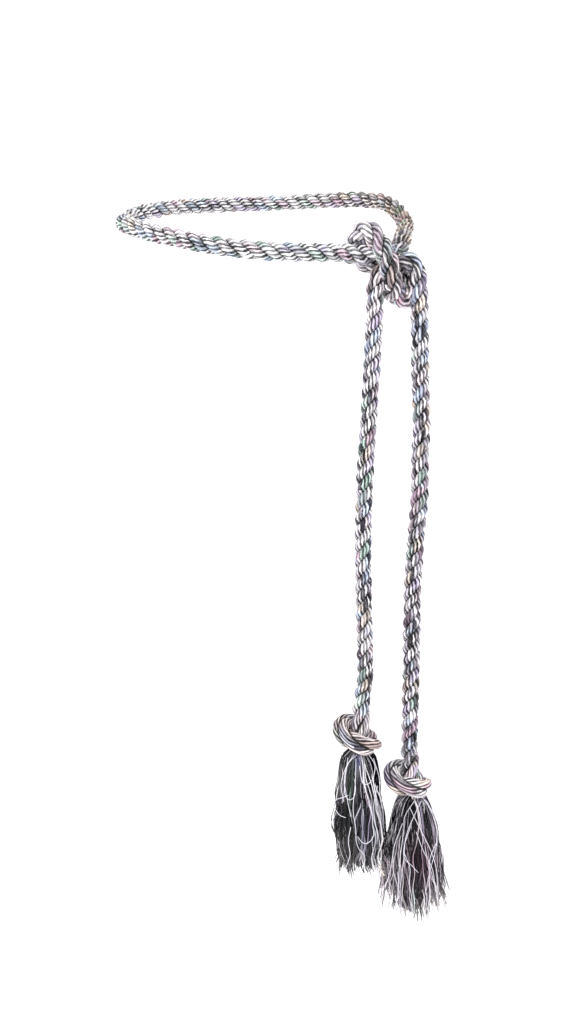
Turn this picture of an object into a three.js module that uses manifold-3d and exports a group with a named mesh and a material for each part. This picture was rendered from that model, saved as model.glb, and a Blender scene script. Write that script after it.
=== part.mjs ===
// Rope belt: one soft three-strand rope tied at the hip, with a knot and a tassel on each hanging end.
// Millimetres, +Z up, the wearer faces -Y, and the origin is the middle of the waist loop.
import * as THREE from "three";
import { mergeVertices } from "three/addons/utils/BufferGeometryUtils.js";
import Module from "manifold-3d";

const manifold = await Module();
manifold.setup();

// Rope
const ropeThickness = 16.5; // over the crowns of the strands
const strandCount = 3;
const lay = 40; // along the rope, for one full turn of the strands
const grooveDepth = 2.4; // from the crowns down to the line where two strands meet
const crownWidth = 6.6; // across the flat top of one strand
const pieceGap = 0.3; // between two pieces that meet end to end
const weld = 1e-3; // points closer than this are one point
const seam = 0.05; // joined skins are cleaned of anything thinner than this
const layFacets = 6; // facets along one turn
const knotFacets = 8; // and where the rope bends hard
const linkFacets = 2; // facets in each of the links that a knot is joined from

// Waist loop, measured outside
const waistWidth = 306;
const waistDepth = 228;
const waistRise = 84; // the back sits this much above the front

// Waist knot, from the middle of the loop to the middle of the knot
const knotAcross = 119;
const knotForward = 78;
const knotDrop = 46.5;

// Hanging ends, from the middle of the waist knot to the middle of each end knot
const leftDrop = 470;
const rightDrop = 521;

// How tall each end knot is drawn, against the table of its turns
const leftKnotHeight = 0.84;
const rightKnotHeight = 0.58;

// Tassels, from the middle of the end knot to the tips of the longest lock
const leftTasselLength = 148;
const rightTasselLength = 145;
const leftTasselWidth = 62; // at the widest
const rightTasselWidth = 72;
const neckRadius = 6; // the locks leave the rope on a circle of this radius
const neckRise = 3; // the tassel's top reaches this far up between the turns of its knot
const lockCount = 13;
const lockWidth = 15;
const lockSides = 6;
const coreSides = 12;

// Colours
const ropeColor = "#9b9aa3";
const knotColor = "#a5a2a9";
const tasselColor = "#3f4148";
const softRoughness = 0.75;

// The loop's points: turn is in degrees from the front towards -X, rise in shares of half the waist rise
const loopTable = [
  { turn: -31, rise: -0.97 }, { turn: -20, rise: -1.0 }, { turn: -7, rise: -1.01 }, { turn: 7, rise: -0.96 },
  { turn: 20, rise: -0.85 }, { turn: 33, rise: -0.68 }, { turn: 48, rise: -0.49 }, { turn: 63, rise: -0.28 },
  { turn: 78, rise: -0.1 }, { turn: 92, rise: 0.08 }, { turn: 106, rise: 0.32 }, { turn: 120, rise: 0.55 },
  { turn: 135, rise: 0.74 }, { turn: 150, rise: 0.88 }, { turn: 165, rise: 0.97 }, { turn: 180, rise: 1.03 },
  { turn: 195, rise: 1.06 }, { turn: 210, rise: 1.06 }, { turn: 225, rise: 1.0 }, { turn: 239, rise: 0.86 },
  { turn: 251, rise: 0.6 }, { turn: 263, rise: 0.24 }, { turn: 275, rise: -0.04 }, { turn: 286, rise: -0.27 },
];

// The run that comes from the front of the waist and leaves as the left end.
// All knot tables are in rope thicknesses from the middle of their knot.
const frontRun = [
  { across: -1.75, out: 0.45, up: 0.32 }, { across: -1.0, out: 0.35, up: 0.45 },
  { across: -0.4, out: 0.15, up: 0.52 }, { across: 0.2, out: -0.35, up: 0.6 },
  { across: 0.72, out: -0.9, up: 0.35 }, { across: 1.05, out: -0.95, up: -0.2 },
  { across: 1.15, out: -0.7, up: -0.85 }, { across: 1.15, out: -0.4, up: -1.6 },
  { across: 0.92, out: -0.2, up: -2.08 }, { across: 0.58, out: -0.1, up: -1.65 },
  { across: 0.22, out: 0.05, up: -0.95 }, { across: -0.12, out: 0.15, up: -0.6 },
  { across: -0.48, out: 0.2, up: -0.8 }, { across: -0.64, out: 0.2, up: -1.35 },
];

// The run that comes from the back of the waist, wraps over the front run and leaves as the right end
const wrappingRun = [
  { across: 0.92, out: -1.4, up: 1.35 }, { across: 0.5, out: -0.55, up: 0.72 },
  { across: 0.05, out: -0.4, up: 0.1 }, { across: -0.4, out: -0.6, up: -0.15 },
  { across: -1.05, out: -0.7, up: 0.0 }, { across: -1.65, out: -0.5, up: 0.4 },
  { across: -1.86, out: 0.0, up: 0.95 }, { across: -1.74, out: 0.5, up: 1.38 },
  { across: -1.42, out: 0.9, up: 1.58 }, { across: -1.02, out: 1.15, up: 1.32 },
  { across: -0.64, out: 1.25, up: 0.78 }, { across: -0.28, out: 1.25, up: 0.15 },
  { across: -0.05, out: 1.15, up: -0.5 }, { across: 0.12, out: 0.95, up: -1.1 },
  { across: 0.35, out: 0.55, up: -1.56 }, { across: 0.42, out: -0.05, up: -1.78 },
  { across: 0.44, out: -0.75, up: -1.6 }, { across: 0.4, out: -1.15, up: -1.05 },
  { across: 0.5, out: -0.95, up: -0.5 }, { across: 0.72, out: -0.35, up: -0.1 },
  { across: 1.1, out: 0.05, up: 0.0 }, { across: 1.48, out: 0.05, up: -0.25 },
  { across: 1.7, out: -0.1, up: -0.9 }, { across: 1.82, out: -0.2, up: -1.65 },
];

// The hanging ends: down is a share of the drop, across and out are in rope thicknesses from the waist knot
const leftTail = [
  { down: 0.075, across: -0.7, out: 0.18 }, { down: 0.13, across: -0.73, out: 0.28 },
  { down: 0.22, across: -0.82, out: 0.48 }, { down: 0.32, across: -0.94, out: 0.6 },
  { down: 0.4, across: -1.04, out: 0.7 }, { down: 0.485, across: -1.08, out: 0.73 },
  { down: 0.57, across: -1.08, out: 0.73 }, { down: 0.7, across: -0.95, out: 0.73 },
  { down: 0.81, across: -0.78, out: 0.73 }, { down: 0.874, across: -0.73, out: 0.73 },
  { down: 0.925, across: -0.92, out: 0.73 },
];
const rightTail = [
  { down: 0.08, across: 1.93, out: -0.33 }, { down: 0.13, across: 2.02, out: -0.26 },
  { down: 0.2, across: 2.1, out: -0.12 }, { down: 0.3, across: 2.25, out: 0.12 },
  { down: 0.36, across: 2.24, out: 0.12 }, { down: 0.436, across: 2.27, out: 0.15 },
  { down: 0.514, across: 2.13, out: 0.24 }, { down: 0.63, across: 2.04, out: 0.36 },
  { down: 0.7, across: 2.09, out: 0.36 }, { down: 0.785, across: 2.15, out: 0.36 },
  { down: 0.87, across: 2.18, out: 0.36 }, { down: 0.935, across: 2.22, out: 0.36 },
];
const leftKnotPlace = { down: 1, across: -1.13, out: 0.73 };
const rightKnotPlace = { down: 1, across: 2.15, out: 0.36 };

// An overhand knot, from where the rope comes in at the top to where the tassel starts
const overhand = [
  { across: 0.2, out: 0.0, up: 1.25 }, { across: 0.18, out: 0.0, up: 0.65 },
  { across: 0.15, out: -0.15, up: 0.0 }, { across: 0.35, out: -0.5, up: -0.5 },
  { across: 0.75, out: -0.55, up: -0.65 }, { across: 0.98, out: -0.1, up: -0.55 },
  { across: 0.85, out: 0.4, up: -0.45 }, { across: 0.45, out: 0.7, up: -0.36 },
  { across: 0.0, out: 0.78, up: -0.22 }, { across: -0.5, out: 0.7, up: 0.0 },
  { across: -0.86, out: 0.35, up: 0.33 }, { across: -0.88, out: -0.2, up: 0.6 },
  { across: -0.5, out: -0.68, up: 0.6 }, { across: 0.05, out: -0.85, up: 0.3 },
  { across: 0.48, out: -0.62, up: 0.0 }, { across: 0.5, out: -0.1, up: -0.35 },
];
const leftExit = [{ across: 0.2, out: 0.08, up: -0.75 }, { across: 0.05, out: 0.0, up: -1.12 }];
const rightExit = [{ across: 0.42, out: 0.08, up: -0.75 }, { across: 0.4, out: 0.0, up: -1.12 }];

// The locks of a tassel, repeated round it: reach in shares of its length, spread in shares of its width
const lockTable = [
  { reach: 0.93, spread: 0.96 }, { reach: 0.98, spread: 0.84 }, { reach: 0.9, spread: 1.0 },
  { reach: 1.0, spread: 0.9 }, { reach: 0.92, spread: 0.97 }, { reach: 0.97, spread: 0.86 },
];

// A lock's outline from root to tip: radius in shares of the lock's width, fall in shares of its length
const lockOutline = [
  { radius: 0, fall: 0 }, { radius: 0.32, fall: 0.03 }, { radius: 0.5, fall: 0.35 },
  { radius: 0.46, fall: 0.75 }, { radius: 0.2, fall: 0.98 }, { radius: 0, fall: 1 },
];

// The head and core that the locks are fused to: radius in shares of the tassel's width
const coreOutline = [
  { radius: 0, fall: 0 }, { radius: 0.18, fall: 0 }, { radius: 0.26, fall: 0.3 },
  { radius: 0.36, fall: 0.85 }, { radius: 0, fall: 0.88 },
];

const group = new THREE.Group();

// Places
const knotPlace = new THREE.Vector3(knotAcross, -knotForward, -knotDrop);

function loopPoint(row) {
  const turn = THREE.MathUtils.degToRad(row.turn);
  const halfWidth = (waistWidth - ropeThickness) / 2;
  const halfDepth = (waistDepth - ropeThickness) / 2;
  return new THREE.Vector3(
    -halfWidth * Math.sin(turn), -halfDepth * Math.cos(turn), row.rise * waistRise / 2);
}

function knotPoint(middle, row) {
  const step = new THREE.Vector3(row.across, -row.out, row.up);
  return step.multiplyScalar(ropeThickness).add(middle);
}

function tailPoint(drop, row) {
  const place = new THREE.Vector3(row.across, -row.out, 0).multiplyScalar(ropeThickness);
  place.z = -row.down * drop;
  return place.add(knotPlace);
}

function drawnFlat(rows, height) {
  return rows.map((row) => ({ ...row, up: row.up * height }));
}

const leftMiddle = tailPoint(leftDrop, leftKnotPlace);
const rightMiddle = tailPoint(rightDrop, rightKnotPlace);

// One rope from tassel to tassel, as stretches that each become a piece
const stretches = [
  { name: "end_knot_left",
    points: [...drawnFlat(overhand, leftKnotHeight), ...leftExit]
      .map((row) => knotPoint(leftMiddle, row)).reverse() },
  { name: "tail_left", points: leftTail.map((row) => tailPoint(leftDrop, row)).reverse() },
  { name: "front_run", points: frontRun.map((row) => knotPoint(knotPlace, row)).reverse() },
  { name: "waist_rope", points: loopTable.map(loopPoint) },
  { name: "wrapping_run", points: wrappingRun.map((row) => knotPoint(knotPlace, row)) },
  { name: "tail_right", points: rightTail.map((row) => tailPoint(rightDrop, row)) },
  { name: "end_knot_right",
    points: [...drawnFlat(overhand, rightKnotHeight), ...rightExit]
      .map((row) => knotPoint(rightMiddle, row)) },
];

const spanDivisions = 24;
const ropePoints = stretches.flatMap((stretch) => stretch.points);
const ropeCurve = new THREE.CatmullRomCurve3(ropePoints, false, "centripetal");
ropeCurve.arcLengthDivisions = (ropePoints.length - 1) * spanDivisions;
const stations = ropeCurve.getLengths();
const ropeLength = ropeCurve.getLength();
const frameCount = Math.round(ropeLength);
const frames = ropeCurve.computeFrenetFrames(frameCount);

// Two stretches meet half way between the last point of one and the first point of the next
function meetingStation(pointIndex) {
  return stations[Math.round((pointIndex + 0.5) * spanDivisions)];
}

function addStations() {
  let pointIndex = -1;
  stretches.forEach((stretch, index) => {
    const first = index === 0;
    const last = index === stretches.length - 1;
    stretch.from = first ? 0 : meetingStation(pointIndex) + pieceGap / 2;
    pointIndex += stretch.points.length;
    stretch.to = last ? ropeLength : meetingStation(pointIndex) - pieceGap / 2;
  });
}
addStations();

function stretchNamed(name) {
  return stretches.find((stretch) => stretch.name === name);
}

// The rope's section: each strand shows a crown of two points, and a groove lies between strands
function strandSection(clearance = 0) {
  const crownRadius = ropeThickness / 2 + clearance;
  const grooveRadius = crownRadius - grooveDepth;
  const halfCrown = Math.asin(crownWidth / 2 / crownRadius);
  const section = [];
  for (let strand = 0; strand < strandCount; strand += 1) {
    const middle = (strand / strandCount) * 2 * Math.PI;
    const groove = middle + Math.PI / strandCount;
    for (const [angle, radius] of [
      [middle - halfCrown, crownRadius], [middle + halfCrown, crownRadius], [groove, grooveRadius]]) {
      section.push(new THREE.Vector2(radius * Math.cos(angle), radius * Math.sin(angle)));
    }
  }
  return section;
}

// Takes a point of the rope's section to its place at a station along the laid rope
function ontoRope(point, station) {
  const share = THREE.MathUtils.clamp(station / ropeLength, 0, 1);
  const frame = Math.round(share * frameCount);
  const turn = (2 * Math.PI * station) / lay;
  const alongNormal = point.x * Math.cos(turn) - point.y * Math.sin(turn);
  const alongBinormal = point.x * Math.sin(turn) + point.y * Math.cos(turn);
  return ropeCurve.getPointAt(share)
    .addScaledVector(frames.normals[frame], alongNormal)
    .addScaledVector(frames.binormals[frame], alongBinormal);
}

function closedMesh(geometry) {
  geometry.deleteAttribute("normal");
  geometry.deleteAttribute("uv");
  return mergeVertices(geometry, weld);
}

function facetCount(stretch, facetsPerLay) {
  return Math.ceil(((stretch.to - stretch.from) * facetsPerLay) / lay);
}

// Lays the rope from one facet of a stretch to another; bars that share a facet's edge share its section
function laidRope(stretch, count, first, last, clearance = 0) {
  const steps = last - first;
  const bar = closedMesh(new THREE.ExtrudeGeometry(
    new THREE.Shape(strandSection(clearance)), { depth: steps, steps, bevelEnabled: false }));
  const places = bar.getAttribute("position");
  const point = new THREE.Vector3();
  for (let index = 0; index < places.count; index += 1) {
    point.fromBufferAttribute(places, index);
    const station = THREE.MathUtils.lerp(stretch.from, stretch.to, (first + point.z) / count);
    point.copy(ontoRope(point, station));
    places.setXYZ(index, point.x, point.y, point.z);
  }
  return bar;
}

// Joined solids
function toSolid(geometry) {
  const merged = closedMesh(geometry);
  const index = merged.getIndex().array;
  const corners = [];
  for (let start = 0; start < index.length; start += 3) {
    const [a, b, c] = index.slice(start, start + 3);
    if (a !== b && b !== c && c !== a) {
      corners.push(a, b, c);
    }
  }
  return new manifold.Manifold(new manifold.Mesh({
    numProp: 3,
    vertProperties: new Float32Array(merged.getAttribute("position").array),
    triVerts: new Uint32Array(corners),
  }));
}

function toGeometry(solid) {
  const mesh = solid.getMesh();
  const geometry = new THREE.BufferGeometry();
  geometry.setAttribute("position", new THREE.BufferAttribute(mesh.vertProperties, 3));
  geometry.setIndex(new THREE.BufferAttribute(mesh.triVerts, 1));
  return geometry;
}

// One clean skin: slivers go, and a small hollow sealed inside a knot is filled
function skinOf(solid) {
  const skins = solid.simplify(seam).decompose();
  skins.sort((one, other) => other.volume() - one.volume());
  return toGeometry(skins[0]);
}

function joined(solids) {
  return skinOf(manifold.Manifold.union(solids));
}

// Where the rope crosses itself it is made of short links, which are joined into one skin
function knottedRope(stretch, clearance = 0) {
  const count = facetCount(stretch, knotFacets);
  const links = [];
  for (let first = 0; first < count; first += linkFacets) {
    const last = Math.min(first + linkFacets, count);
    links.push(toSolid(laidRope(stretch, count, first, last, clearance)));
  }
  return links;
}

function turned(outline, width, length, sides) {
  const profile = outline.map((row) => new THREE.Vector2(row.radius * width, row.fall * length));
  return new THREE.LatheGeometry(profile, sides);
}

// A lock is a tapering bundle that leaves the neck and flares outwards as it falls
function tasselLock(neck, bearing, row, length, width) {
  const lockLength = length * row.reach;
  const lock = turned(lockOutline, lockWidth, lockLength, lockSides);
  const tipRadius = row.spread * (width - lockWidth) / 2;
  const places = lock.getAttribute("position");
  for (let index = 0; index < places.count; index += 1) {
    const share = places.getY(index) / lockLength;
    const flare = THREE.MathUtils.lerp(neckRadius, tipRadius, Math.sqrt(Math.sin(share * Math.PI / 2)));
    places.setXYZ(index,
      neck.x + places.getX(index) + flare * Math.cos(bearing),
      neck.y + places.getZ(index) + flare * Math.sin(bearing),
      neck.z - share * lockLength);
  }
  return toSolid(lock);
}

function tasselCore(neck, length, width) {
  const core = turned(coreOutline, width, length, coreSides);
  core.rotateX(-Math.PI / 2);
  core.translate(neck.x, neck.y, neck.z);
  return toSolid(core);
}

// The tassel's top is cut to the turns of the knot that it hangs from
function tassel(knot, station, middle, length, width) {
  const neck = ropeCurve.getPointAt(station / ropeLength);
  neck.z += neckRise;
  const fall = length - (middle.z - neck.z);
  const solids = [tasselCore(neck, fall, width)];
  for (let lock = 0; lock < lockCount; lock += 1) {
    const bearing = (lock / lockCount) * 2 * Math.PI;
    solids.push(tasselLock(neck, bearing, lockTable[lock % lockTable.length], fall, width));
  }
  const turns = manifold.Manifold.union(knottedRope(knot, pieceGap));
  return skinOf(manifold.Manifold.union(solids).subtract(turns));
}

// Pieces
function addPiece(name, geometry, color) {
  const material = new THREE.MeshStandardMaterial({ color, roughness: softRoughness, metalness: 0 });
  const mesh = new THREE.Mesh(geometry, material);
  mesh.name = name;
  group.add(mesh);
}

for (const name of ["waist_rope", "tail_left", "tail_right"]) {
  const stretch = stretchNamed(name);
  const count = facetCount(stretch, layFacets);
  addPiece(name, laidRope(stretch, count, 0, count), ropeColor);
}

const knotLinks = [...knottedRope(stretchNamed("front_run")), ...knottedRope(stretchNamed("wrapping_run"))];
addPiece("waist_knot", joined(knotLinks), knotColor);
for (const name of ["end_knot_left", "end_knot_right"]) {
  addPiece(name, joined(knottedRope(stretchNamed(name))), knotColor);
}

addPiece("tassel_left",
  tassel(stretchNamed("end_knot_left"), 0, leftMiddle, leftTasselLength, leftTasselWidth), tasselColor);
addPiece("tassel_right",
  tassel(stretchNamed("end_knot_right"), ropeLength, rightMiddle, rightTasselLength, rightTasselWidth),
  tasselColor);

export default group;
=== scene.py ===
# Rope belt tied at the hip, with an overhand knot and a thread tassel on each hanging end.
# Metres, +Z up, the wearer faces -Y, and the origin is the middle of the waist loop.
import math
import bpy
import numpy as np
from mathutils import Matrix, Vector


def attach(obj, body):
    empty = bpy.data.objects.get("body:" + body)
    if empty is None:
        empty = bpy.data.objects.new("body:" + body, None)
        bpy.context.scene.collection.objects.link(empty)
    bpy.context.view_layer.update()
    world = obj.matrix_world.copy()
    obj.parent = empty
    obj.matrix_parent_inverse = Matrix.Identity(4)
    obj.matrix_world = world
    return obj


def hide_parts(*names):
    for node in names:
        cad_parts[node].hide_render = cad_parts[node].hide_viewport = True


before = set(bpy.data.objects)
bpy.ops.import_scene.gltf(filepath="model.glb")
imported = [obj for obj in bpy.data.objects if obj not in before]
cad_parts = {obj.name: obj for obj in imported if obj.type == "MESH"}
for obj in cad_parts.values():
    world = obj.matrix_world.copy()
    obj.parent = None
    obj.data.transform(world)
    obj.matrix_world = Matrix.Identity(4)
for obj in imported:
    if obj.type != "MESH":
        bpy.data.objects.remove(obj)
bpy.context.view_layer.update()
scene = bpy.context.scene


# Camera: the photograph's place, tilt and field of view
cameraSettings = {
    "place": (0.024, -0.857, -0.156),
    "right": (0.99993761, 0.00178049, 0.0110274),
    "down": (0.01117022, -0.15938616, -0.98715312),
    "forward": (0.0, 0.98721471, -0.15939611),
    "filmHeight": 36.0,
    "focalLength": 28.25,
    "clipEnd": 50,
}


def addCamera(settings):
    data = bpy.data.cameras.new("camera")
    data.sensor_fit = "VERTICAL"
    data.sensor_height = settings["filmHeight"]
    data.lens = settings["focalLength"]
    data.clip_end = settings["clipEnd"]
    camera = bpy.data.objects.new("camera", data)
    right, down, forward = (Vector(settings[key]) for key in ("right", "down", "forward"))
    axes = Matrix((right, -down, -forward)).transposed()
    camera.matrix_world = Matrix.Translation(settings["place"]) @ axes.to_4x4()
    scene.collection.objects.link(camera)
    scene.camera = camera


addCamera(cameraSettings)
print("camera placed")


# Route of the rope: the same points as in the solids, in rope thicknesses unless said otherwise
rope = {
    "thickness": 0.0165,
    "lay": 0.040,          # along the rope, for one turn of the strands
    "step": 0.0017,        # between the rings of a yarn
    "knotStep": 0.0013,    # the same, where the rope is fuller than the next number says
    "knotFullness": 1.1,
    "spanDivisions": 24,   # of the curve, between two points of the route
    "frameStep": 0.001,
}
loopSize = {"width": 0.306, "depth": 0.228, "rise": 0.084}
knotMiddle = np.array((0.119, -0.078, -0.0465))
leftDrop, rightDrop = 0.470, 0.521
leftKnotHeight, rightKnotHeight = 0.84, 0.58  # how tall each end knot is drawn, as a share of its table

# turn in degrees from the front towards -X, rise in shares of half the loop's rise
loopTable = [
    (-31, -0.97), (-20, -1.0), (-7, -1.01), (7, -0.96), (20, -0.85), (33, -0.68), (48, -0.49), (63, -0.28),
    (78, -0.1), (92, 0.08), (106, 0.32), (120, 0.55), (135, 0.74), (150, 0.88), (165, 0.97), (180, 1.03),
    (195, 1.06), (210, 1.06), (225, 1.0), (239, 0.86), (251, 0.6), (263, 0.24), (275, -0.04), (286, -0.27),
]
# across, out and up from the middle of the knot
frontRun = [
    (-1.75, 0.45, 0.32), (-1.0, 0.35, 0.45), (-0.4, 0.15, 0.52), (0.2, -0.35, 0.6), (0.72, -0.9, 0.35),
    (1.05, -0.95, -0.2), (1.15, -0.7, -0.85), (1.15, -0.4, -1.6), (0.92, -0.2, -2.08), (0.58, -0.1, -1.65),
    (0.22, 0.05, -0.95), (-0.12, 0.15, -0.6), (-0.48, 0.2, -0.8), (-0.64, 0.2, -1.35),
]
wrappingRun = [
    (0.92, -1.4, 1.35), (0.5, -0.55, 0.72), (0.05, -0.4, 0.1), (-0.4, -0.6, -0.15), (-1.05, -0.7, 0.0),
    (-1.65, -0.5, 0.4), (-1.86, 0.0, 0.95), (-1.74, 0.5, 1.38), (-1.42, 0.9, 1.58), (-1.02, 1.15, 1.32),
    (-0.64, 1.25, 0.78), (-0.28, 1.25, 0.15), (-0.05, 1.15, -0.5), (0.12, 0.95, -1.1), (0.35, 0.55, -1.56),
    (0.42, -0.05, -1.78), (0.44, -0.75, -1.6), (0.4, -1.15, -1.05), (0.5, -0.95, -0.5), (0.72, -0.35, -0.1),
    (1.1, 0.05, 0.0), (1.48, 0.05, -0.25), (1.7, -0.1, -0.9), (1.82, -0.2, -1.65),
]
overhand = [
    (0.2, 0.0, 1.25), (0.18, 0.0, 0.65), (0.15, -0.15, 0.0), (0.35, -0.5, -0.5), (0.75, -0.55, -0.65),
    (0.98, -0.1, -0.55), (0.85, 0.4, -0.45), (0.45, 0.7, -0.36), (0.0, 0.78, -0.22), (-0.5, 0.7, 0.0),
    (-0.86, 0.35, 0.33), (-0.88, -0.2, 0.6), (-0.5, -0.68, 0.6), (0.05, -0.85, 0.3), (0.48, -0.62, 0.0),
    (0.5, -0.1, -0.35),
]
leftExit = [(0.2, 0.08, -0.75), (0.05, 0.0, -1.12)]
rightExit = [(0.42, 0.08, -0.75), (0.4, 0.0, -1.12)]
# down in shares of the drop, then across and out
leftTail = [
    (0.075, -0.7, 0.18), (0.13, -0.73, 0.28), (0.22, -0.82, 0.48), (0.32, -0.94, 0.6), (0.4, -1.04, 0.7),
    (0.485, -1.08, 0.73), (0.57, -1.08, 0.73), (0.7, -0.95, 0.73), (0.81, -0.78, 0.73), (0.874, -0.73, 0.73),
    (0.925, -0.92, 0.73),
]
rightTail = [
    (0.08, 1.93, -0.33), (0.13, 2.02, -0.26), (0.2, 2.1, -0.12), (0.3, 2.25, 0.12), (0.36, 2.24, 0.12),
    (0.436, 2.27, 0.15), (0.514, 2.13, 0.24), (0.63, 2.04, 0.36), (0.7, 2.09, 0.36), (0.785, 2.15, 0.36),
    (0.87, 2.18, 0.36), (0.935, 2.22, 0.36),
]
leftKnotPlace, rightKnotPlace = (1.0, -1.13, 0.73), (1.0, 2.15, 0.36)


def loopPoint(turn, rise):
    angle = math.radians(turn)
    halfWidth = (loopSize["width"] - rope["thickness"]) / 2
    halfDepth = (loopSize["depth"] - rope["thickness"]) / 2
    across, back = -halfWidth * math.sin(angle), -halfDepth * math.cos(angle)
    return np.array((across, back, rise * loopSize["rise"] / 2))


def knotPoints(middle, rows):
    return [middle + rope["thickness"] * np.array((across, -out, up)) for across, out, up in rows]


def tailPoint(drop, row):
    down, across, out = row
    return knotMiddle + np.array((across * rope["thickness"], -out * rope["thickness"], -down * drop))


def drawnFlat(rows, height):
    return [(across, out, up * height) for across, out, up in rows]


leftMiddle, rightMiddle = tailPoint(leftDrop, leftKnotPlace), tailPoint(rightDrop, rightKnotPlace)
stretches = [
    ("end_knot_left", knotPoints(leftMiddle, drawnFlat(overhand, leftKnotHeight) + leftExit)[::-1]),
    ("tail_left", [tailPoint(leftDrop, row) for row in leftTail][::-1]),
    ("front_run", knotPoints(knotMiddle, frontRun)[::-1]),
    ("waist_rope", [loopPoint(*row) for row in loopTable]),
    ("wrapping_run", knotPoints(knotMiddle, wrappingRun)),
    ("tail_right", [tailPoint(rightDrop, row) for row in rightTail]),
    ("end_knot_right", knotPoints(rightMiddle, drawnFlat(overhand, rightKnotHeight) + rightExit)),
]
routePoints = np.array([point for name, points in stretches for point in points])


def curvePoints(places, points):
    # A centripetal Catmull-Rom curve; a place counts the points from the first one
    count = len(points)
    longer = np.vstack((2 * points[0] - points[1], points, 2 * points[-1] - points[-2]))
    index = np.clip(np.floor(places).astype(int), 0, count - 2)
    share = (places - index)[:, None]
    before, start, end, after = (longer[index + step] for step in range(4))
    gapBefore, gap, gapAfter = (np.linalg.norm(b - a, axis=1)[:, None] ** 0.5
                                for a, b in ((before, start), (start, end), (end, after)))
    leave = ((start - before) / gapBefore - (end - before) / (gapBefore + gap) + (end - start) / gap) * gap
    arrive = ((end - start) / gap - (after - start) / (gap + gapAfter) + (after - end) / gapAfter) * gap
    square = -3 * start + 3 * end - 2 * leave - arrive
    cube = 2 * start - 2 * end + leave + arrive
    return start + share * (leave + share * (square + share * cube))


placeGrid = np.linspace(0, len(routePoints) - 1, (len(routePoints) - 1) * rope["spanDivisions"] + 1)
gridPoints = curvePoints(placeGrid, routePoints)
stationGrid = np.concatenate(([0], np.cumsum(np.linalg.norm(np.diff(gridPoints, axis=0), axis=1))))
ropeLength = stationGrid[-1]


def atStation(stations):
    return curvePoints(np.interp(stations, stationGrid, placeGrid), routePoints)


def carryFrames():
    # Two directions across the rope, carried along it without turning about it
    stations = np.linspace(0, ropeLength, round(ropeLength / rope["frameStep"]) + 1)
    nudge = rope["frameStep"] / 10
    ahead = atStation(np.minimum(stations + nudge, ropeLength))
    behind = atStation(np.maximum(stations - nudge, 0))
    tangents = [Vector(row).normalized() for row in ahead - behind]
    least = min(range(3), key=lambda axis: (abs(tangents[0][axis]), -axis))
    guide = Vector([float(axis == least) for axis in range(3)])
    side = tangents[0].cross(tangents[0].cross(guide).normalized())
    sides = [side]
    for last, tangent in zip(tangents, tangents[1:]):
        side = last.rotation_difference(tangent) @ side
        sides.append(side)
    risers = [tangent.cross(side) for tangent, side in zip(tangents, sides)]
    return stations, np.array(sides), np.array(risers)


frameStations, frameSides, frameRisers = carryFrames()


def atFrame(stations, table):
    rows = np.column_stack([np.interp(stations, frameStations, table[:, axis]) for axis in range(3)])
    return rows / np.linalg.norm(rows, axis=1)[:, None]


def stretchSpans():
    # A stretch meets the next half way between the last point of one and the first point of the other
    spans, index, start = {}, -1, 0.0
    for name, points in stretches:
        index += len(points)
        last = index == len(routePoints) - 1
        end = ropeLength if last else stationGrid[round((index + 0.5) * rope["spanDivisions"])]
        spans[name] = (start, end)
        start = end
    return spans


spans = stretchSpans()
print("route:", round(ropeLength, 4), "m of rope")

# How the rope changes along its length: fuller and less tightly laid inside the knots
ropeHandling = {
    "end_knot_left": {"fullness": 1.2, "tightness": 0.45, "pale": 0.16},
    "tail_left": {"fullness": 0.99, "tightness": 0.97, "pale": 0.21},
    "front_run": {"fullness": 1.14, "tightness": 0.85, "pale": 0.12},
    "waist_rope": {"fullness": 1.0, "tightness": 1.0, "pale": 0.58},
    "wrapping_run": {"fullness": 1.14, "tightness": 0.85, "pale": 0.12},
    "tail_right": {"fullness": 1.03, "tightness": 0.97, "pale": 0.07},
    "end_knot_right": {"fullness": 1.2, "tightness": 0.45, "pale": 0.24},
}
handover = 0.012  # m over which one stretch's handling passes into the next one's
handoverSamples = 9
# Tints of the dye, of which the first, at the back right of the waist loop, is partly a brown tint and partly
# painted shade: station in m, half length in m, colour, strength
tintAndShadePatches = [
    (1.42, 0.08, (0.60, 0.50, 0.40), 0.9), (0.06, 0.09, (1.0, 0.88, 0.82), 0.8),
    (2.33, 0.08, (0.98, 0.96, 0.94), 0.7), (0.62, 0.05, (1.0, 0.80, 0.84), 0.5),
    (0.78, 0.05, (0.86, 1.0, 0.93), 0.35), (1.66, 0.06, (1.0, 0.88, 0.86), 0.4),
]


def alongRope(stations, key):
    offsets = np.linspace(-handover, handover, handoverSamples)
    ends = np.array([spans[name][1] for name in ropeHandling])[:-1]
    values = np.array([handling[key] for handling in ropeHandling.values()])
    return np.mean([values[np.searchsorted(ends, stations + offset)] for offset in offsets], axis=0)


def tintAndShadeRows(stations):
    rows = np.ones((len(stations), 4))
    rows[:, 3] = 0
    for middle, half, colour, strength in tintAndShadePatches:
        amount = strength * np.exp(-((stations - middle) / half) ** 2)[:, None]
        rows[:, :3] *= 1 - amount * (1 - np.array(colour))
    return rows


# Stations as the lay counts them: less tightly laid rope turns less
laidSteps = alongRope(frameStations, "tightness")[:-1] * np.diff(frameStations)
laidStations = np.concatenate(([0], np.cumsum(laidSteps)))


# Node helpers
class Wire:
    # A number in a node tree that can be added, multiplied and so on
    def __init__(self, tree, value):
        self.tree, self.value = tree, value

    def calc(self, operation, *others):
        node = self.tree.nodes.new("ShaderNodeMath")
        node.operation = operation
        for socket, value in zip(node.inputs, (self, *others)):
            feed(self.tree, socket, value)
        return Wire(self.tree, node.outputs[0])

    def __add__(self, other):
        return self.calc("ADD", other)

    def __sub__(self, other):
        return self.calc("SUBTRACT", other)

    def __mul__(self, other):
        return self.calc("MULTIPLY", other)

    def __truediv__(self, other):
        return self.calc("DIVIDE", other)

    def sin(self):
        return self.calc("SINE")

    def cos(self):
        return self.calc("COSINE")


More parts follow.
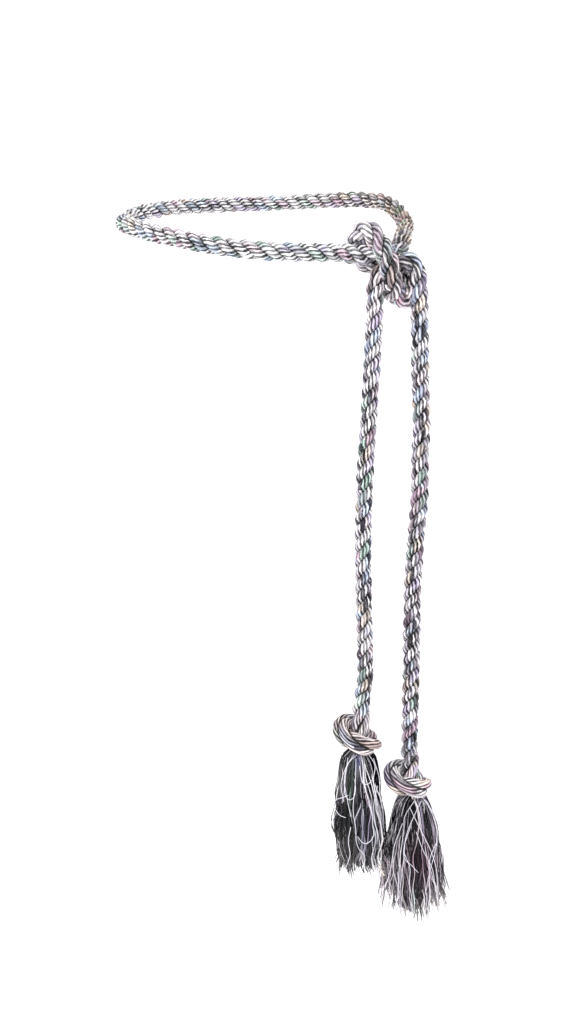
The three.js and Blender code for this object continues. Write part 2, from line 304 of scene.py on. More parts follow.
def feed(tree, socket, value):
    value = value.value if isinstance(value, Wire) else value
    if isinstance(value, bpy.types.NodeSocket):
        tree.links.new(value, socket)
    elif value is not None:
        socket.default_value = value


def addNode(tree, kind, inputs=None, **settings):
    node = tree.nodes.new(kind)
    for key, value in settings.items():
        setattr(node, key, value)
    for key, value in (inputs or {}).items():
        feed(tree, node.inputs[key], value)
    return node


def vectorCalc(tree, operation, *values):
    node = addNode(tree, "ShaderNodeVectorMath", operation=operation)
    slots = [socket for socket in node.inputs if socket.enabled]
    for socket, value in zip(slots, values):
        feed(tree, socket, value)
    return next(socket for socket in node.outputs if socket.enabled)


def stretchedBy(tree, vector, number):
    node = addNode(tree, "ShaderNodeVectorMath", operation="SCALE")
    feed(tree, node.inputs[0], vector)
    feed(tree, node.inputs["Scale"], number)
    return node.outputs[0]


def makeTree(name, kind, inputs, outputs):
    tree = bpy.data.node_groups.new(name, kind)
    for side, sockets in (("INPUT", inputs), ("OUTPUT", outputs)):
        for label, socketType, value in sockets:
            socket = tree.interface.new_socket(label, in_out=side, socket_type="NodeSocket" + socketType)
            if value is not None:
                socket.default_value = value
    return tree, tree.nodes.new("NodeGroupInput"), tree.nodes.new("NodeGroupOutput")


def readAttribute(tree, name, kind="FLOAT"):
    node = addNode(tree, "GeometryNodeInputNamedAttribute", {"Name": name}, data_type=kind)
    return next(socket for socket in node.outputs if socket.enabled and socket.name == "Attribute")


def storeAttribute(tree, geometry, name, value, kind="FLOAT"):
    node = addNode(tree, "GeometryNodeStoreNamedAttribute", {"Geometry": geometry, "Name": name},
                   data_type=kind, domain="POINT")
    feed(tree, next(socket for socket in node.inputs if socket.enabled and socket.name == "Value"), value)
    return node.outputs[0]


def finishTree(tree, geometry, material, end):
    whole = addNode(tree, "GeometryNodeRealizeInstances", {"Geometry": geometry})
    coated = addNode(tree, "GeometryNodeSetMaterial", {"Geometry": whole.outputs[0], "Material": material})
    tree.links.new(coated.outputs[0], end.inputs[0])


def plainPiece(name, source, tree, values):
    # Runs a node tree on a guide object and keeps the result as a plain mesh
    modifier = source.modifiers.new(tree.name, "NODES")
    modifier.node_group = tree
    for item in tree.interface.items_tree:
        if item.item_type == "SOCKET" and item.in_out == "INPUT" and item.name in values:
            modifier[item.identifier] = values[item.name]
    graph = bpy.context.evaluated_depsgraph_get()
    mesh = bpy.data.meshes.new_from_object(source.evaluated_get(graph), preserve_all_data_layers=True,
                                           depsgraph=graph)
    source.modifiers.remove(modifier)
    bpy.data.objects.remove(source)
    mesh.name = name
    piece = bpy.data.objects.new(name, mesh)
    scene.collection.objects.link(piece)
    print(name, len(mesh.vertices), "points,", sum(len(p.vertices) - 2 for p in mesh.polygons), "triangles")
    return piece


def guideObject(name, points, edges, attributes):
    mesh = bpy.data.meshes.new(name)
    mesh.from_pydata(points.tolist(), edges, [])
    for label, kind, values in attributes:
        layer = mesh.attributes.new(label, kind, "POINT")
        field = {"FLOAT": "value", "FLOAT_VECTOR": "vector", "FLOAT_COLOR": "color"}[kind]
        layer.data.foreach_set(field, np.asarray(values, dtype=np.float32).ravel())
    guide = bpy.data.objects.new(name, mesh)
    scene.collection.objects.link(guide)
    return guide


# The laid rope: strands turn about the route, plies turn back inside each strand,
# and threads lie along each ply
geometryOnly = [("Geometry", "Geometry", None)]
layInputs = [
    ("Geometry", "Geometry", None), ("Strands", "Int", 3), ("Plies", "Int", 9), ("Threads", "Int", 3),
    ("Middle Radius", "Float", 0.0040), ("Swing", "Float", 0.0034), ("Spread", "Float", 0.70),
    ("Ply Radius", "Float", 0.0016), ("Thread Depth", "Float", 0.16), ("Lay", "Float", 0.04),
    ("Ply Lay", "Float", 0.025), ("Thread Lay", "Float", 0.11), ("Unevenness", "Float", 0.0007),
    ("Seed", "Float", 0.0), ("Material", "Material", None),
]
# How noise makes the plies uneven
plyNoise = {
    "pitch": 60.0,    # a metre of rope
    "apart": 3.7,     # between the noises of two plies
    "out": 2.0,       # times the unevenness, in and out
    "round": 300.0,   # radians for a metre of unevenness
    "swell": 0.9,     # of a ply's thickness
}


def buildLayTree(uneven):
    tree, start, end = makeTree("layRope", "GeometryNodeTree", layInputs, geometryOnly)
    given = {socket.name: Wire(tree, socket) for socket in start.outputs if socket.name}
    route = addNode(tree, "GeometryNodeMeshToCurve", {"Mesh": given["Geometry"]}).outputs[0]
    copies = addNode(tree, "GeometryNodeDuplicateElements",
                     {"Geometry": route, "Amount": given["Strands"] * given["Plies"]}, domain="SPLINE")
    number = Wire(tree, copies.outputs["Duplicate Index"])
    strand = (number / given["Plies"]).calc("FLOOR")
    ply = number - strand * given["Plies"]
    station, laid, fullness = (Wire(tree, readAttribute(tree, label))
                               for label in ("station", "laid", "fullness"))
    side, riser = readAttribute(tree, "side", "FLOAT_VECTOR"), readAttribute(tree, "riser", "FLOAT_VECTOR")
    # Unevenness
    spot = addNode(tree, "ShaderNodeCombineXYZ",
                   {0: station * uneven["pitch"], 1: number * uneven["apart"] + given["Seed"],
                    2: given["Seed"]}).outputs[0]
    noise = addNode(tree, "ShaderNodeTexNoise", {"Vector": spot, "Scale": 1.0, "Detail": 1.0})
    parts = addNode(tree, "ShaderNodeSeparateXYZ", {0: noise.outputs["Color"]})
    swayOut, swayRound, swell = (Wire(tree, parts.outputs[axis]) - 0.5 for axis in range(3))
    # Angles
    turn = (laid / given["Lay"] + strand / given["Strands"]) * math.tau
    slide = (ply / given["Plies"] - laid / given["Ply Lay"]) * math.tau
    radius = (given["Middle Radius"] + given["Swing"] * slide.cos()) * fullness \
        + swayOut * given["Unevenness"] * uneven["out"]
    swing = slide.sin() - (slide * 3.0).sin() / 9.0  # a sine drawn towards a zigzag
    bearing = turn + given["Spread"] * swing + swayRound * given["Unevenness"] * uneven["round"]
    outward = vectorCalc(tree, "ADD", stretchedBy(tree, side, bearing.cos()),
                         stretchedBy(tree, riser, bearing.sin()))
    moved = addNode(tree, "GeometryNodeSetPosition",
                    {"Geometry": copies.outputs["Geometry"], "Offset": stretchedBy(tree, outward, radius)})
    named = storeAttribute(tree, moved.outputs[0], "ply", number)
    middle = addNode(tree, "GeometryNodeInputPosition").outputs[0]
    named = storeAttribute(tree, named, "core", middle, "FLOAT_VECTOR")
    # The way out of the strand at this ply
    strandOut = vectorCalc(tree, "ADD", stretchedBy(tree, side, turn.cos()),
                           stretchedBy(tree, riser, turn.sin()))
    fromRoute = stretchedBy(tree, outward, radius)
    fromStrand = vectorCalc(tree, "SUBTRACT", fromRoute,
                            stretchedBy(tree, strandOut, given["Middle Radius"] * fullness))
    strandWay = vectorCalc(tree, "NORMALIZE", fromStrand)
    routePlace = vectorCalc(tree, "SUBTRACT", middle, fromRoute)
    named = storeAttribute(tree, named, "strandOut", strandWay, "FLOAT_VECTOR")
    named = storeAttribute(tree, named, "middle", routePlace, "FLOAT_VECTOR")
    named = storeAttribute(tree, named, "outward", outward, "FLOAT_VECTOR")
    # The ply's own frame: its normal is the way out of the rope, squared to its run
    run = addNode(tree, "GeometryNodeInputTangent").outputs[0]
    out = readAttribute(tree, "outward", "FLOAT_VECTOR")
    along = addNode(tree, "ShaderNodeVectorMath", {0: out, 1: run}, operation="DOT_PRODUCT").outputs["Value"]
    normal = vectorCalc(tree, "NORMALIZE", vectorCalc(tree, "SUBTRACT", out, stretchedBy(tree, run, along)))
    turned = addNode(tree, "GeometryNodeSetCurveNormal", {"Curve": named, "Normal": normal}, mode="FREE")
    tilted = addNode(tree, "GeometryNodeSetCurveTilt",
                     {"Curve": turned.outputs[0], "Tilt": station / given["Thread Lay"] * math.tau})
    # The ply's section: one lobe a thread
    ring = addNode(tree, "GeometryNodeCurvePrimitiveCircle",
                   {"Resolution": given["Threads"] * 2.0, "Radius": 1.0})
    place = addNode(tree, "GeometryNodeInputPosition").outputs[0]
    odd = Wire(tree, addNode(tree, "GeometryNodeInputIndex").outputs[0]).calc("MODULO", 2.0)
    marked = storeAttribute(tree, ring.outputs[0], "around", place, "FLOAT_VECTOR")
    inOrOut = stretchedBy(tree, place, odd * given["Thread Depth"] * -1.0 + 1.0)
    lobed = addNode(tree, "GeometryNodeSetPosition", {"Geometry": marked, "Position": inOrOut})
    tubes = addNode(tree, "GeometryNodeCurveToMesh",
                    {"Curve": tilted.outputs[0], "Profile Curve": lobed.outputs[0], "Fill Caps": True,
                     "Scale": given["Ply Radius"] * (swell * uneven["swell"] + 1.0) * fullness})
    # For the painted shade: how far out of the rope a point is, and how far up its ply
    surface = addNode(tree, "GeometryNodeInputPosition").outputs[0]
    fromMiddle = addNode(tree, "ShaderNodeVectorMath",
                         {0: surface, 1: readAttribute(tree, "middle", "FLOAT_VECTOR")},
                         operation="DISTANCE").outputs["Value"]
    bare = storeAttribute(tree, tubes.outputs[0], "reach", Wire(tree, fromMiddle) / fullness)
    fromCore = vectorCalc(tree, "SUBTRACT", surface, readAttribute(tree, "core", "FLOAT_VECTOR"))
    crest = addNode(tree, "ShaderNodeVectorMath",
                    {0: fromCore, 1: readAttribute(tree, "strandOut", "FLOAT_VECTOR")},
                    operation="DOT_PRODUCT").outputs["Value"]
    bare = storeAttribute(tree, bare, "crest", Wire(tree, crest) / given["Ply Radius"] / fullness)
    for label in ("side", "riser", "outward", "middle", "laid", "fullness", "core", "strandOut"):
        bare = addNode(tree, "GeometryNodeRemoveAttribute", {"Geometry": bare, "Name": label}).outputs[0]
    smooth = addNode(tree, "GeometryNodeSetShadeSmooth", {"Geometry": bare})
    finishTree(tree, smooth.outputs[0], given["Material"], end)
    return tree


def layRope(name, pieces, material, changes=None):
    points, edges, stationRows = [], [], []
    for piece in pieces:
        first, last = spans[piece]
        step = rope["knotStep"] if ropeHandling[piece]["fullness"] > rope["knotFullness"] else rope["step"]
        stations = np.linspace(first, last, max(2, round((last - first) / step) + 1))
        offset = len(stationRows)
        edges += [(offset + index, offset + index + 1) for index in range(len(stations) - 1)]
        stationRows += stations.tolist()
    stationRows = np.array(stationRows)
    guide = guideObject(name + "_guide", atStation(stationRows), edges, [
        ("station", "FLOAT", stationRows),
        ("laid", "FLOAT", np.interp(stationRows, frameStations, laidStations)),
        ("fullness", "FLOAT", alongRope(stationRows, "fullness")),
        ("pale", "FLOAT", alongRope(stationRows, "pale")),
        ("tint", "FLOAT_COLOR", tintAndShadeRows(stationRows)),
        ("side", "FLOAT_VECTOR", atFrame(stationRows, frameSides)),
        ("riser", "FLOAT_VECTOR", atFrame(stationRows, frameRisers))])
    return plainPiece(name, guide, layTree, {"Material": material, "Lay": rope["lay"], **(changes or {})})


layTree = buildLayTree(plyNoise)


# A tassel: threads hang in locks from the neck, flare under it and end raggedly
threadSettings = {"steps": 20, "sides": 3, "strayDivisions": 8, "straySides": 5, "strayRadius": 0.00031}
# How they fall; a pair is the least and the most that chance gives
threadFall = {
    "lockTurn": 2.39996,        # radians from one lock to the next, so that none line up
    "lockDrift": (-0.7, 0.7),   # radians turned by the end
    "wispDrift": (-0.5, 0.5),
    "lockPlace": (0.05, 1.0),   # from the middle outwards, before the power
    "lockPlacePower": 0.42,
    "lockSpread": (0.86, 1.0),
    "threadPlace": (0.3, 1.0),
    "lockLength": (0.84, 1.0),
    "wispLength": (0.9, 1.0),
    "threadLength": (0.95, 1.0),
    "thickness": (0.7, 1.25),
    "growPower": 0.7,           # how soon the sway grows
    "gatherPower": 4.0,         # how late the ends gather in
    "wildPower": 2.0,           # how rare wild wisps are
    "paleFrom": 0.66,           # how wild a wisp is before it turns pale
    "lockWaves": 2.2,           # sways on the way down
    "wispWaves": 3.0,
    "threadWaves": 4.0,
    "swayReach": 4.0,           # makes up for noise that keeps near its middle
}
# What a size is multiplied by at the neck or in a tame wisp, and what is added by the end or in a wild one
threadGrowth = {
    "lock": (0.6, 0.5), "wisp": (0.7, 1.5), "wispSway": (0.25, 1.2), "threadOff": (1.2, -0.8),
    "threadSway": (2.4, -2.0),
}
# Odd factors that keep one thread's noise away from the next one's
noiseGaps = {"lock": 7.1, "lockStart": 3.3, "wisp": 5.3, "wispLock": 1.7, "thread": 3.9, "threadSeed": 2.0}

hangInputs = [
    ("Geometry", "Geometry", None), ("Threads", "Int", 1400), ("Locks", "Int", 46), ("Length", "Float", 0.14),
    ("Width", "Float", 0.06), ("Neck", "Float", 0.3), ("Shoulder", "Float", 0.3), ("Gather", "Float", 0.06),
    ("Lean", "Float", 0.0), ("Lock Radius", "Float", 0.0055), ("Waviness", "Float", 0.006),
    ("Lock Sway", "Float", 0.007), ("Wisp Size", "Float", 2.0), ("Wisp Radius", "Float", 0.00035),
    ("Thread Radius", "Float", 0.00036), ("Pale Wisps", "Float", 6.0), ("Darkest Lock", "Float", -0.65),
    ("Palest Lock", "Float", 0.1), ("Seed", "Int", 1), ("Material", "Material", None),
]


def randomWire(tree, low, high, number, seed):
    node = addNode(tree, "FunctionNodeRandomValue", data_type="FLOAT")
    for socket in node.inputs:
        if socket.enabled and socket.name in ("Min", "Max", "ID", "Seed"):
            feed(tree, socket, {"Min": low, "Max": high, "ID": number, "Seed": seed}[socket.name])
    return Wire(tree, next(socket for socket in node.outputs if socket.enabled))


def swayWires(tree, along, across, seed, amount):
    # A smooth random sway in two directions
    spot = addNode(tree, "ShaderNodeCombineXYZ", {0: along, 1: across, 2: seed}).outputs[0]
    noise = addNode(tree, "ShaderNodeTexNoise", {"Vector": spot, "Scale": 1.0, "Detail": 1.0})
    parts = addNode(tree, "ShaderNodeSeparateXYZ", {0: noise.outputs["Color"]})
    return [(Wire(tree, parts.outputs[axis]) - 0.5) * amount * threadFall["swayReach"] for axis in range(2)]


def grownBy(wire, key):
    first, more = threadGrowth[key]
    return wire * more + first


def buildHangTree(fall, gaps):
    tree, start, end = makeTree("hangThreads", "GeometryNodeTree", hangInputs, geometryOnly)
    given = {socket.name: Wire(tree, socket) for socket in start.outputs if socket.name}
    line = addNode(tree, "GeometryNodeMeshToCurve", {"Mesh": given["Geometry"]}).outputs[0]
    copies = addNode(tree, "GeometryNodeDuplicateElements", {"Geometry": line, "Amount": given["Threads"]},
                     domain="SPLINE")
    number = Wire(tree, copies.outputs["Duplicate Index"])
    share = Wire(tree, readAttribute(tree, "share"))
    seed = given["Seed"]

    def chance(limits, whose, draw):
        return randomWire(tree, *limits, whose, seed + draw)

    anyShare, anyTurn = (0.0, 1.0), (0.0, math.tau)
    wisp = (number / given["Wisp Size"]).calc("FLOOR")
    lock = (chance(anyShare, wisp, 0) * given["Locks"]).calc("FLOOR")
    grown = share.calc("POWER", fall["growPower"])
    # The lock's own way down
    drift = chance(fall["lockDrift"], lock, 1) + chance(fall["wispDrift"], wisp, 12)
    bearing = lock * fall["lockTurn"] + drift * share
    lockX, lockY = swayWires(tree, share * fall["lockWaves"], lock * gaps["lock"] + gaps["lockStart"], seed,
                             given["Lock Sway"] * grown)
    fullness = chance(fall["lockPlace"], lock, 2).calc("POWER", fall["lockPlacePower"])
    spread = chance(fall["lockSpread"], lock, 3)
    flare = given["Neck"] + (given["Neck"] * -1.0 + 1.0) * share.calc("POWER", given["Shoulder"]) \
        - given["Gather"] * share.calc("POWER", fall["gatherPower"])
    outward = fullness * spread * flare * (given["Width"] / 2.0 - given["Lock Radius"])
    # The wisp's place in its lock, and the thread's place in its wisp
    turn = chance(anyTurn, wisp, 4)
    off = chance(anyShare, wisp, 5).calc("SQRT") * given["Lock Radius"] * grownBy(share, "lock")
    wild = chance(anyShare, wisp, 9).calc("POWER", fall["wildPower"])
    wispX, wispY = swayWires(tree, share * fall["wispWaves"], wisp * gaps["wisp"], lock * gaps["wispLock"],
                             given["Waviness"] * grownBy(wild, "wispSway") * grown)
    ownTurn = chance(anyTurn, number, 10)
    ownOff = chance(fall["threadPlace"], number, 11) * given["Wisp Radius"] * grownBy(share, "wisp") \
        * grownBy(wild, "threadOff")
    ownX, ownY = swayWires(tree, share * fall["threadWaves"], number * gaps["thread"],
                           seed * gaps["threadSeed"],
                           given["Wisp Radius"] * grownBy(wild, "threadSway") * share)
    length = given["Length"] * chance(fall["lockLength"], lock, 6) * chance(fall["wispLength"], wisp, 7) \
        * chance(fall["threadLength"], number, 13)
    place = addNode(tree, "ShaderNodeCombineXYZ", {
        0: outward * bearing.cos() + off * turn.cos() + ownOff * ownTurn.cos() + lockX + wispX + ownX
        + given["Lean"] * share * share,
        1: outward * bearing.sin() + off * turn.sin() + ownOff * ownTurn.sin() + lockY + wispY + ownY,
        2: length * share * -1.0}).outputs[0]
    neck = addNode(tree, "GeometryNodeInputPosition").outputs[0]
    moved = addNode(tree, "GeometryNodeSetPosition", {
        "Geometry": copies.outputs["Geometry"], "Position": vectorCalc(tree, "ADD", neck, place)})
    named = storeAttribute(tree, moved.outputs[0], "ply", wisp)
    named = storeAttribute(tree, named, "station", share * length)
    # How far out its lock hangs: the yarn's painted shade darkens the locks nearer the middle
    named = storeAttribute(tree, named, "reach", fullness)
    tone = randomWire(tree, given["Darkest Lock"], given["Palest Lock"], lock, seed + 14)
    paleness = ((wild - fall["paleFrom"]) * given["Pale Wisps"]).calc("MAXIMUM", 0.0)
    named = storeAttribute(tree, named, "pale", paleness + tone)
    ring = addNode(tree, "GeometryNodeCurvePrimitiveCircle",
                   {"Resolution": threadSettings["sides"], "Radius": 1.0})
    thickness = given["Thread Radius"] * chance(fall["thickness"], number, 8)
    tubes = addNode(tree, "GeometryNodeCurveToMesh", {"Curve": named, "Profile Curve": ring.outputs[0],
                                                      "Fill Caps": True, "Scale": thickness})
    bare = addNode(tree, "GeometryNodeRemoveAttribute", {"Geometry": tubes.outputs[0], "Name": "share"})
    smooth = addNode(tree, "GeometryNodeSetShadeSmooth", {"Geometry": bare.outputs[0]})
    finishTree(tree, smooth.outputs[0], given["Material"], end)
    return tree


def buildStrayTree():
    tree, start, end = makeTree("strayThread", "GeometryNodeTree", [
        *geometryOnly, ("Radius", "Float", 0.0005), ("Material", "Material", None)], geometryOnly)
    line = addNode(tree, "GeometryNodeMeshToCurve", {"Mesh": start.outputs["Geometry"]})
    ring = addNode(tree, "GeometryNodeCurvePrimitiveCircle",
                   {"Resolution": threadSettings["straySides"], "Radius": start.outputs["Radius"]})
    tubes = addNode(tree, "GeometryNodeCurveToMesh", {
        "Curve": line.outputs[0], "Profile Curve": ring.outputs[0], "Fill Caps": True})
    finishTree(tree, tubes.outputs[0], start.outputs["Material"], end)
    return tree


hangTree = buildHangTree(threadFall, noiseGaps)
strayTree = buildStrayTree()

# The tables of a tassel run across, out and down from its neck, in mm
metresFromTable = (0.001, -0.001, -0.001)
tableFromMetres = (1000, -1000, -1000)


def strayThreads(name, neck, paths, material):
    # Single threads that loop or hang over a tassel
    points, edges = [], []
    for path in paths:
        rows = np.array(path) * metresFromTable + neck
        last = len(rows) - 1
        curve = curvePoints(np.linspace(0, last, last * threadSettings["strayDivisions"] + 1), rows)
        edges += [(len(points) + index, len(points) + index + 1) for index in range(len(curve) - 1)]
        points += curve.tolist()
    guide = guideObject(name + "_guide", np.array(points), edges, [])
    return plainPiece(name, guide, strayTree, {"Radius": threadSettings["strayRadius"], "Material": material})


def tintPiece(piece, neck, patches):
    # Tints where the dye shows: middle and half sizes, then colour, strength and cover
    mesh = piece.data
    places = np.empty(len(mesh.vertices) * 3, dtype=np.float32)
    mesh.vertices.foreach_get("co", places)
    offsets = (places.reshape(-1, 3) - neck) * tableFromMetres
    rows = np.ones((len(offsets), 4))
    rows[:, 3] = 0
    for middle, half, colour, strength, cover in patches:
        amount = np.exp(-np.sum(((offsets - middle) / half) ** 2, axis=1))
        rows[:, :3] += (strength * amount)[:, None] * (np.array(colour) - rows[:, :3])
        rows[:, 3] += amount * (cover - rows[:, 3])
    mesh.attributes["tint"].data.foreach_set("color", rows.astype(np.float32).ravel())


def hangTassel(name, neck, settings, material, strayMaterial):
    shares = np.linspace(0, 1, threadSettings["steps"] + 1)
    guide = guideObject(name + "_guide", np.repeat([neck], len(shares), axis=0),
                        [(index, index + 1) for index in range(len(shares) - 1)],
                        [("share", "FLOAT", shares), ("tint", "FLOAT_COLOR", np.ones((len(shares), 4)))])
    tassel = plainPiece(name, guide, hangTree, {"Material": material, **settings["looks"]})
    strays = strayThreads(name + "_strays", neck, settings["strays"], strayMaterial)
    with bpy.context.temp_override(active_object=tassel, selected_editable_objects=[tassel, strays]):
        bpy.ops.object.join()
    tintPiece(tassel, neck, settings["tints"])
    return tassel


# Looks: yarn dyed in patches, each thread with its own run of colours, with painted shade deep in the rope
# and in its grooves
def sRGB(*parts):
    return tuple((part / 255) ** 2.2 for part in parts)


# Share of the yarn, colour
dyes = [
    (0.16, sRGB(15, 13, 20)), (0.05, sRGB(36, 35, 54)), (0.08, sRGB(86, 80, 93)), (0.14, sRGB(145, 138, 150)),
    (0.18, sRGB(194, 188, 202)), (0.17, sRGB(227, 222, 232)), (0.22, sRGB(255, 252, 255)),
]
# Share of the plies, and what their colour is multiplied by
dyeTints = [
    (0.58, (1.0, 1.0, 1.0)), (0.07, (0.93, 0.82, 0.86)), (0.04, (0.72, 0.56, 0.64)),
    (0.05, (0.76, 0.90, 0.82)), (0.03, (0.54, 0.72, 0.62)), (0.10, (0.72, 0.83, 0.95)),
    (0.06, (0.93, 0.84, 0.74)), (0.07, (0.82, 0.76, 0.92)),
]


# How the dye lies, and how deep its painted shade goes; what is drawn by chance has a number of its own
dyeAndShadeSettings = {
    "stagger": 0.37,            # of a patch, from one ply to the next
    "drawOwn": 3.5,
    "drawShared": 0.5,
    "drawTint": 7.5,
    "drawGrooveShade": 11.5,
    "regain": 1.2,              # mixed chances bunch in the middle, so they are spread again
    "palest": 0.999,
    # The next two set how much light the painted shade leaves in the grooves beside a ply and deep in the
    # rope
    "softestGrooveShade": 0.55,     # light left in the grooves beside a ply
    "deepest": 0.08,            # light left deep in the rope
    "fibre": (900.0, 3.1, 6.0),  # noise a metre along, from ply to ply and round a ply
}


def stepRamp(tree, factor, table):
    ramp = addNode(tree, "ShaderNodeValToRGB", {"Fac": factor})
    ramp.color_ramp.interpolation = "CONSTANT"
    elements, position = ramp.color_ramp.elements, 0.0
    while len(elements) < len(table):
        elements.new(1.0)
    total = sum(share for share, colour in table)
    for element, (share, colour) in zip(elements, table):
        element.position = position
        element.color = (*colour, 1)
        position += share / total
    return ramp.outputs["Color"]


def chanceAt(tree, *parts):
    spot = addNode(tree, "ShaderNodeCombineXYZ", dict(enumerate(parts))).outputs[0]
    noise = addNode(tree, "ShaderNodeTexWhiteNoise", {"Vector": spot}, noise_dimensions="3D")
    return Wire(tree, noise.outputs["Value"])


def mixColours(tree, blend, factor, first, second):
    node = addNode(tree, "ShaderNodeMix", {"Factor": factor}, data_type="RGBA", blend_type=blend)
    tree.links.new(first, node.inputs[6])
    tree.links.new(second, node.inputs[7])
    return node.outputs[2]


def buildDyeAndShadeGroup(lie):
    tree, start, end = makeTree("dyedAndShadedYarn", "ShaderNodeTree", [
        ("Patch Length", "Float", 0.03), ("Group", "Float", 3.0), ("Dark", "Float", 0.62),
        ("Group Share", "Float", 0.25), ("Shade From", "Float", 0.0052), ("Shade To", "Float", 0.0063),
        ("Crest From", "Float", 0.56), ("Crest To", "Float", 0.725), ("Tint Rarity", "Float", 1.0)],
        [("Color", "Color", None), ("Height", "Float", None)])
    given = {socket.name: Wire(tree, socket) for socket in start.outputs if socket.name}
    ply, station, reach, crest, pale = (
        Wire(tree, addNode(tree, "ShaderNodeAttribute", attribute_name=label).outputs["Fac"])
        for label in ("ply", "station", "reach", "crest", "pale"))
    around = addNode(tree, "ShaderNodeAttribute", attribute_name="around").outputs["Vector"]
    split = addNode(tree, "ShaderNodeSeparateXYZ", {0: around})
    angle = Wire(tree, split.outputs["Y"]).calc("ARCTAN2", split.outputs["X"])
    # A ply's value: partly its group's, partly its own
    group = (ply / given["Group"]).calc("FLOOR")
    groupPatch = (station / given["Patch Length"] + group * lie["stagger"]).calc("FLOOR")
    plyPatch = (station / given["Patch Length"] + ply * lie["stagger"]).calc("FLOOR")
    own = chanceAt(tree, plyPatch, ply, lie["drawOwn"])
    shared = chanceAt(tree, groupPatch, group, lie["drawShared"])
    value = own + (shared - own) * given["Group Share"]
    spreadOut = ((value - 0.5) * (given["Group Share"] * lie["regain"] + 1.0) + 0.5).calc("MAXIMUM", 0.0)
    wished = spreadOut.calc("POWER", given["Dark"]) + pale
    picked = wished.calc("MINIMUM", lie["palest"]).calc("MAXIMUM", 0.0)
    neutral = stepRamp(tree, picked.value, dyes)
    tintChance = chanceAt(tree, groupPatch, group, lie["drawTint"]).calc("POWER", given["Tint Rarity"])
    tinted = mixColours(tree, "MULTIPLY", 1.0, neutral, stepRamp(tree, tintChance.value, dyeTints))
    # Painted shade: darker deep in the rope, and in the grooves beside each ply
    grooveShade = chanceAt(tree, plyPatch, ply, lie["drawGrooveShade"]) * lie["softestGrooveShade"]
    shades = [addNode(tree, "ShaderNodeMapRange", {"Value": place, "From Min": low, "From Max": high,
                                                   "To Min": darkest, "To Max": 1.0}).outputs[0]
              for place, low, high, darkest in (
                  (reach, given["Shade From"], given["Shade To"], lie["deepest"]),
                  (crest, given["Crest From"], given["Crest To"], grooveShade))]
    total = Wire(tree, shades[0]) * shades[1]
    shade = addNode(tree, "ShaderNodeCombineXYZ", {axis: total for axis in range(3)}).outputs[0]
    dimmed = mixColours(tree, "MULTIPLY", 1.0, tinted, shade)
    # The tint attribute: tints of the dye, and at the back right of the waist loop painted shade as well
    dye = addNode(tree, "ShaderNodeAttribute", attribute_name="tint")
    washed = mixColours(tree, "MULTIPLY", 1.0, dimmed, dye.outputs["Color"])
    covered = mixColours(tree, "MIX", dye.outputs["Alpha"], washed, dye.outputs["Color"])
    tree.links.new(covered, end.inputs["Color"])
    along, across, aroundPly = lie["fibre"]
    fibreSpot = addNode(tree, "ShaderNodeCombineXYZ",
                        {0: station * along, 1: ply * across, 2: angle * aroundPly}).outputs[0]
    fibre = addNode(tree, "ShaderNodeTexNoise", {"Vector": fibreSpot, "Scale": 1.0, "Detail": 2.0})
    tree.links.new(fibre.outputs["Fac"], end.inputs["Height"])
    return tree


dyeAndShadeGroup = buildDyeAndShadeGroup(dyeAndShadeSettings)
yarnFinish = {"sheenRoughness": 0.4, "bumpStrength": 0.25, "bumpDistance": 0.0004}


def yarnMaterial(name, values, roughness, sheen, specular):
    material = bpy.data.materials.new(name)
    material.use_nodes = True
    tree = material.node_tree
    shader = tree.nodes["Principled BSDF"]
    shader.inputs["Roughness"].default_value = roughness
    shader.inputs["Sheen Weight"].default_value = sheen
    shader.inputs["Specular IOR Level"].default_value = specular
    shader.inputs["Sheen Roughness"].default_value = yarnFinish["sheenRoughness"]
    # The group gives the yarn's dye colours with painted shade in the grooves
    dye = addNode(tree, "ShaderNodeGroup", node_tree=dyeAndShadeGroup)
    for key, value in values.items():
        dye.inputs[key].default_value = value
    bump = addNode(tree, "ShaderNodeBump", {
        "Height": dye.outputs["Height"], "Strength": yarnFinish["bumpStrength"],
        "Distance": yarnFinish["bumpDistance"]})
    tree.links.new(dye.outputs["Color"], shader.inputs["Base Color"])
    tree.links.new(bump.outputs["Normal"], shader.inputs["Normal"])
    return material


ropeYarn = yarnMaterial("ropeYarn", {}, roughness=0.45, sheen=0.06, specular=0.35)
# A thread has no crest, so its range is put where it changes nothing; the painted shade darkens the locks
# nearer the tassel's middle
tasselThread = yarnMaterial("tasselThread", {
    "Patch Length": 0.09, "Group": 1.0, "Dark": 3.8, "Group Share": 0.0, "Shade From": 0.1, "Shade To": 0.8,
    "Crest From": -1.0, "Crest To": -0.5, "Tint Rarity": 3.0}, roughness=0.5, sheen=0.0, specular=0.12)


def plainMaterial(name, colour, roughness):
    material = bpy.data.materials.new(name)
    material.use_nodes = True
    shader = material.node_tree.nodes["Principled BSDF"]
    shader.inputs["Base Color"].default_value = (*colour, 1)
    shader.inputs["Roughness"].default_value = roughness
    return material


strayThread = plainMaterial("strayThread", sRGB(232, 230, 240), roughness=0.5)
print("yarns dyed")

# In the end knots the plies lie flatter and finer
endKnotLay = {"Plies": 12, "Ply Radius": 0.0012, "Swing": 0.0034}

